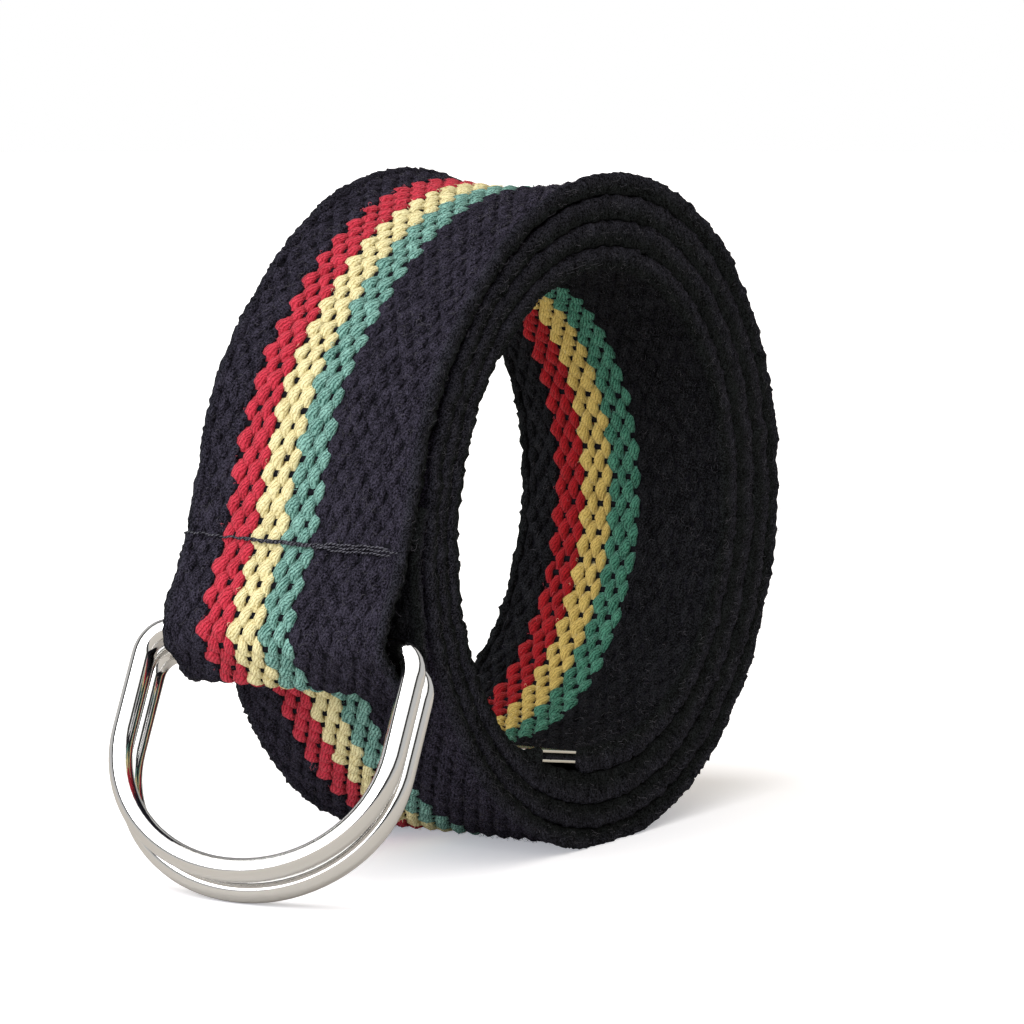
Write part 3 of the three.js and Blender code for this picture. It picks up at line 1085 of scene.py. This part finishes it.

# %% Finishes of the yarns
# In each finish, inside is the tone of the painted shade on the inner side of the belt.
FINISHES = {
    "charcoal": {"light": (0.068, 0.062, 0.093, 1), "dark": (0.002, 0.002, 0.003, 1), "sheen": 0.0,
                 "twist": 0.25, "fuzz": 1.60, "middle": 0.34, "inside": (0.48, 0.55, 0.43, 1)},
    "red": {"light": (0.68, 0.048, 0.084, 1), "dark": (0.20, 0.002, 0.008, 1), "sheen": 0.06,
            "twist": 0.75, "fuzz": 1.10, "middle": 0.55, "inside": (0.73, 0.31, 0.27, 1)},
    "straw": {"light": (0.90, 0.84, 0.50, 1), "dark": (0.42, 0.32, 0.11, 1), "sheen": 0.04,
              "twist": 0.70, "fuzz": 1.10, "middle": 0.64, "inside": (0.86, 0.71, 0.38, 1)},
    "green": {"light": (0.31, 0.58, 0.51, 1), "dark": (0.010, 0.072, 0.056, 1), "sheen": 0.06,
              "twist": 0.75, "fuzz": 1.15, "middle": 0.44, "inside": (0.38, 0.67, 0.53, 1)},
    "seam": {"light": (0.15, 0.15, 0.18, 1), "dark": (0.002, 0.002, 0.004, 1), "sheen": 0.0,
             "twist": 1.30, "fuzz": 1.20, "middle": 0.36, "inside": WHITE,
             "strands": 2, "lay": 1.3 * MM},
}
COTTON_ROUGHNESS = 0.95
COTTON_SHINE = 0.03
SHEEN_ROUGHNESS = 0.6
BUMP_DEPTH = 0.15 * MM
BUMP_STRENGTH = 0.9
MOTTLE_SHARE = 0.7
MEAN_STRAND = 0.72
# Painted shade along both edges of the webbing, in the grooves between the turns.
EDGE_SHADE_TONE = (0.76, 0.84, 0.74, 1)


def yarn_material(name, light, dark, sheen, twist, fuzz, middle, inside, strands=STRANDS, lay=LAY):
    """Cotton yarn: twist and fuzz say how much its strands and its fibres show, and the twist also paints shade
    into the creases between strands; middle is its mean tone, and inside is painted shade on the inner side of
    the belt, which light reaches only from yarn to yarn."""
    material, tree, shader = plain_material(name, COTTON_ROUGHNESS)
    twisted = tree.nodes.new("ShaderNodeGroup")
    twisted.node_tree = TWIST
    twisted.inputs["Strands"].default_value = strands
    twisted.inputs["Lay"].default_value = lay
    strand = math_node(tree, "MULTIPLY", twisted.outputs["Strand"], twist)
    fibre = math_node(tree, "MULTIPLY", twisted.outputs["Fibre"], fuzz)
    mottle = math_node(tree, "MULTIPLY", twisted.outputs["Mottle"], MOTTLE_SHARE)
    shift = middle - MEAN_STRAND * twist - MEAN_NOISE * (fuzz + MOTTLE_SHARE)
    spun = math_node(tree, "ADD", fibre, strand)
    tone = math_node(tree, "ADD", spun, math_node(tree, "ADD", mottle, shift), clamp=True)
    # Painted shade: darker along both edges of the webbing, and on the inner side of the belt.
    edge_shade = blend_node(tree, twisted.outputs["Edge"], WHITE, EDGE_SHADE_TONE)
    inner = blend_node(tree, twisted.outputs["Inside"], WHITE, inside)
    color = blend_node(tree, 1.0, blend_node(tree, tone, dark, light), edge_shade, "MULTIPLY")
    color = blend_node(tree, 1.0, color, inner, "MULTIPLY")
    tree.links.new(color, shader.inputs["Base Color"])
    add_bump(tree, shader, spun, BUMP_DEPTH, BUMP_STRENGTH)
    shader.inputs["Sheen Weight"].default_value = sheen
    shader.inputs["Sheen Roughness"].default_value = SHEEN_ROUGHNESS
    shader.inputs["Specular IOR Level"].default_value = COTTON_SHINE
    return material


YARN_MATERIALS = {name: yarn_material(name + "_cotton", **tones) for name, tones in FINISHES.items()}
for piece, finish in yarn_pieces:
    piece.data.materials.append(YARN_MATERIALS[finish])
seam.data.materials.append(YARN_MATERIALS["seam"])
print("yarn finishes", sorted(YARN_MATERIALS))

# %% Dark cotton of the weft
# Near black: the weft's dark colour, made darker still to paint the shade in the holes where it shows.
WEFT_LIGHT = (0.012, 0.012, 0.016, 1)
WEFT_DARK = (0.002, 0.002, 0.003, 1)
WEFT_NOISE = (3900, 3.0, 0.7)


def weft_material():
    """Cotton whose twist is too hidden to show: only its fibres do."""
    material, tree, shader = plain_material("weft_cotton", COTTON_ROUGHNESS)
    place = tree.nodes.new("ShaderNodeTexCoord")
    fibre = noise_node(tree, place.outputs["Object"], *WEFT_NOISE)
    tree.links.new(blend_node(tree, fibre, WEFT_DARK, WEFT_LIGHT), shader.inputs["Base Color"])
    shader.inputs["Specular IOR Level"].default_value = COTTON_SHINE
    return material


weft.data.materials.append(weft_material())
print("weft finish", weft.data.materials[0].name)

# %% [markdown]
# A loose fibre has the colour of the yarn that it comes from, a little paler, because it stands in the light.
# A material for each colour would mean a piece for each, so the colour is worked out once for each vertex and
# kept in the mesh, and one material reads it.

# %% Colour of the fibres
FIBRE_ROUGHNESS = 0.9
FIBRE_TINTS = {
    "charcoal": (0.060, 0.057, 0.068),
    "red": (0.66, 0.10, 0.14),
    "straw": (0.88, 0.80, 0.52),
    "green": (0.28, 0.56, 0.48),
}


def tint_fibres():
    end = np.clip(((WEB_WIDTH / 2 - fuzz_across) / END_PITCH).astype(int), 0, ENDS - 1)
    by_end = np.array([FIBRE_TINTS[stripe["finish"]] for stripe in STRIPES for _ in range(stripe["ends"])])
    remember(fuzz_mesh, "tint", by_end[end])


tint_fibres()
fibre_material, fibre_tree, fibre_shader = plain_material("fibre_cotton", FIBRE_ROUGHNESS)
fibre_tint = attribute_node(fibre_tree, "tint")
fibre_tree.links.new(fibre_tint.outputs["Color"], fibre_shader.inputs["Base Color"])
fuzz.data.materials.append(fibre_material)
print("fibres tinted in", len(FIBRE_TINTS), "colours")

# %% [markdown]
# The rings are polished steel: nearly a mirror, with a soft haze and very faint dents from wear. The clip is
# a yellower, duller sheet. Both come from one function, because only their numbers differ.

# %% Metal
METALS = {
    "ring_steel": {"color": (0.80, 0.79, 0.77, 1), "roughness": 0.04, "haze": 0.06},
    "clip_metal": {"color": (0.76, 0.73, 0.64, 1), "roughness": 0.10, "haze": 0.14},
}
HAZE_NOISE = (260, 4.0, 0.65)
DENT_NOISE = (900, 3.0, 0.5)
DENT_DEPTH = 0.02 * MM
DENT_STRENGTH = 0.35


def metal_material(name, color, roughness, haze):
    material, tree, shader = plain_material(name, roughness, 1.0)
    shader.inputs["Base Color"].default_value = color
    place = tree.nodes.new("ShaderNodeTexCoord").outputs["Object"]
    hazy = math_node(tree, "MULTIPLY", noise_node(tree, place, *HAZE_NOISE), haze)
    tree.links.new(math_node(tree, "ADD", hazy, roughness), shader.inputs["Roughness"])
    add_bump(tree, shader, noise_node(tree, place, *DENT_NOISE), DENT_DEPTH, DENT_STRENGTH)
    return material


METAL = {name: metal_material(name, **tones) for name, tones in METALS.items()}
for ring in (front_ring, back_ring):
    ring.data.materials.append(METAL["ring_steel"])
clip.data.materials.append(METAL["clip_metal"])
print("metals", sorted(METAL))

# %% [markdown]
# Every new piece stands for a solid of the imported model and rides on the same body, so it moves as that does.

# %% Pieces and bodies
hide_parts("d_ring_front")
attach(front_ring, "front_ring")
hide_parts("d_ring_back")
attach(back_ring, "back_ring")
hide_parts("end_clip")
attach(clip, "strap")
for piece in [piece for piece, finish in yarn_pieces] + [weft, fuzz, seam]:
    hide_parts("strap_webbing")
    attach(piece, "strap")

# %% [markdown]
# The belt stands on a white floor, which the camera sees a little brighter than it is, so that shadows stay
# as faint as in the picture. The steel sees the same floor as a middle grey.

# %% Floor
FLOOR_RADIUS = 3.0
FLOOR_SIDES = 96
FLOOR_ROUGHNESS = 0.9
FLOOR_SHINE = 0.1
FLOOR_WHITE = (0.88, 0.88, 0.88, 1)
FLOOR_IN_STEEL = (0.50, 0.485, 0.46, 1)
SHADOW_LIFT = 0.37
LIFT_TINT = (0.96, 0.98, 1.06, 1)

bm = bmesh.new()
bmesh.ops.create_circle(bm, cap_ends=True, segments=FLOOR_SIDES, radius=FLOOR_RADIUS)
floor = new_object("floor", mesh_from(bm, "floor"))
floor_material, floor_tree, floor_shader = plain_material("floor_white", FLOOR_ROUGHNESS)
floor_shader.inputs["Specular IOR Level"].default_value = FLOOR_SHINE
floor_seen = floor_tree.nodes.new("ShaderNodeLightPath")
floor_tone = blend_node(floor_tree, floor_seen.outputs["Is Glossy Ray"], FLOOR_WHITE, FLOOR_IN_STEEL)
floor_tree.links.new(floor_tone, floor_shader.inputs["Base Color"])
lift = math_node(floor_tree, "MULTIPLY", floor_seen.outputs["Is Camera Ray"], SHADOW_LIFT)
floor_shader.inputs["Emission Color"].default_value = LIFT_TINT
floor_tree.links.new(lift, floor_shader.inputs["Emission Strength"])
floor.data.materials.append(floor_material)
print("floor", FLOOR_RADIUS, "m in radius")

# %% [markdown]
# Polished steel shows only what is around it, so what the metal sees isn't the same all over. It is bright
# above a slanting line, with a dark band along that line and grey below, and dark again far behind the belt.
# The band draws the dark lines along the rings, and the dark behind draws their outlines. Cloth gets an even
# light instead, and the camera sees plain white.

# %% Room
ROOM_LIGHT = (0.44, 0.38, 0.28, 1)
BRIGHT_SIDE = Vector((-0.33, -0.06, 0.94))
STEEL_TONES = (
    (0.0, 0.50), (0.58, 0.62), (0.66, 0.50), (0.69, 0.03), (0.757, 0.03), (0.775, 1.45), (1.0, 1.45),
)
BEHIND = Vector((0.85, 0.53, 0.0))
BEHIND_TONES = ((0.0, 1.0), (0.90, 1.0), (0.96, 0.35), (1.0, 0.35))

room = bpy.data.worlds.new("room")
room.use_nodes = True
tree = room.node_tree
away = tree.nodes.new("ShaderNodeTexCoord")


def tones_towards(direction, tones):
    """Greys by the angle from a direction: 0 is straight away from it, 1 is straight towards it."""
    facing = tree.nodes.new("ShaderNodeVectorMath")
    facing.operation = "DOT_PRODUCT"
    tree.links.new(away.outputs["Generated"], facing.inputs[0])
    facing.inputs[1].default_value = direction.normalized()
    share = math_node(tree, "DIVIDE", math_node(tree, "ADD", facing.outputs["Value"], 1), 2)
    ramp = tree.nodes.new("ShaderNodeValToRGB")
    tree.links.new(share, ramp.inputs["Fac"])
    while len(ramp.color_ramp.elements) < len(tones):
        ramp.color_ramp.elements.new(1.0)
    for element, (place, tone) in zip(ramp.color_ramp.elements, tones):
        element.position = place
        element.color = (tone, tone, tone, 1)
    return ramp.outputs["Color"]


bright_side = tones_towards(BRIGHT_SIDE, STEEL_TONES)
in_steel = blend_node(tree, 1.0, bright_side, tones_towards(BEHIND, BEHIND_TONES), "MULTIPLY")
seen = tree.nodes.new("ShaderNodeLightPath")
tone = blend_node(tree, seen.outputs["Is Glossy Ray"], ROOM_LIGHT, in_steel)
tone = blend_node(tree, seen.outputs["Is Camera Ray"], tone, WHITE)
tree.links.new(tone, tree.nodes["Background"].inputs["Color"])
bpy.context.scene.world = room
bpy.context.scene.view_settings.view_transform = "Standard"
print("room with", len(tree.nodes), "nodes")

# %% [markdown]
# The light comes from above and the front left, as from a big window. An area light would fade across the
# belt, so a sun stands in for it, and its wide angle makes the shadows as soft as a window's.

# %% Window light
SUN_FROM = Vector((-0.85, 0.10, 0.80))
SUN_STRENGTH = 4.2
SUN_COLOR = (1.0, 1.01, 1.06)
SUN_WIDTH_DEG = 84

sun_data = bpy.data.lights.new("window", "SUN")
sun_data.energy = SUN_STRENGTH
sun_data.color = SUN_COLOR
sun_data.angle = math.radians(SUN_WIDTH_DEG)
sun = new_object("window", sun_data)
sun.location = SUN_FROM
sun.rotation_euler = (-SUN_FROM).to_track_quat("-Z", "Y").to_euler()
print("window light", SUN_STRENGTH, "strong and", SUN_WIDTH_DEG, "degrees wide")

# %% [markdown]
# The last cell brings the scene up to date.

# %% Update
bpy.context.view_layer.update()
